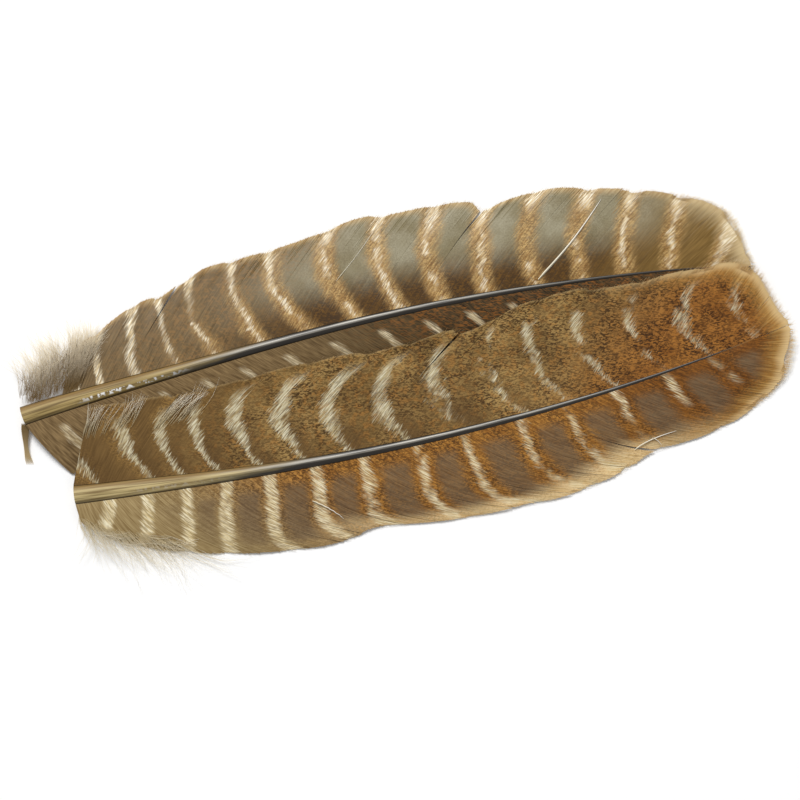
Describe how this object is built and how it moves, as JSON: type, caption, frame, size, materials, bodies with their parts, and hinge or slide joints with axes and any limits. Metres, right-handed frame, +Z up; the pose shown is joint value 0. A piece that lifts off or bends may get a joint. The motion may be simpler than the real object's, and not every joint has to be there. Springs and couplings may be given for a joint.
{
  "type": "pair of wing feathers",
  "caption": "Barred brown wing feathers lying together, one partly over the other, with horny shafts cut off short and down at their cut ends.",
  "frame": {"origin": "on the surface the feathers lie on, under the middle of the pair", "axes": "+X from the cut ends towards the tips, +Y to the left of the shafts, +Z up"},
  "size_m": [0.2488, 0.1282, 0.0069],
  "materials": {
    "shaft_horn": "satin",
    "shaft_pith": "matte",
    "rear_vane": "matte",
    "front_vane": "matte",
    "down": "matte",
    "pale_barb": "matte"
  },
  "bodies": {
    "rear_feather": {"rear_shaft_cortex": "shaft_horn", "rear_shaft_pith": "shaft_pith", "rear_left_vane_base": "rear_vane", "rear_left_vane_middle": "rear_vane", "rear_left_vane_tip": "rear_vane", "rear_right_vane_base": "rear_vane", "rear_right_vane_tip": "rear_vane", "rear_left_down": "down", "rear_loose_strip": "rear_vane", "rear_stray_barb": "pale_barb"},
    "front_feather_base": {"front_shaft_base_cortex": "shaft_horn", "front_shaft_base_pith": "shaft_pith", "front_left_vane_base": "front_vane", "front_right_vane_base": "front_vane", "front_right_vane_lower": "front_vane", "front_left_down": "down", "front_right_down": "down", "front_stray_barb": "pale_barb"},
    "front_feather_tip": {"front_shaft_tip_cortex": "shaft_horn", "front_shaft_tip_pith": "shaft_pith", "front_left_vane_tip": "front_vane", "front_right_vane_upper": "front_vane", "front_right_vane_tip": "front_vane"}
  },
  "joints": [
    {"name": "front_lift", "type": "slide", "parent": "rear_feather", "child": "front_feather_base", "axis": [0, 0, 1], "range_m": [0, 0.06]},
    {"name": "front_flex", "type": "hinge", "parent": "front_feather_base", "child": "front_feather_tip", "pos_m": [-0.0112, -0.0208, 0.005], "axis": [0.1946, -0.9809, 0], "range_deg": [0, 25], "stiffness_Nm_per_rad": 0.015}
  ]
}
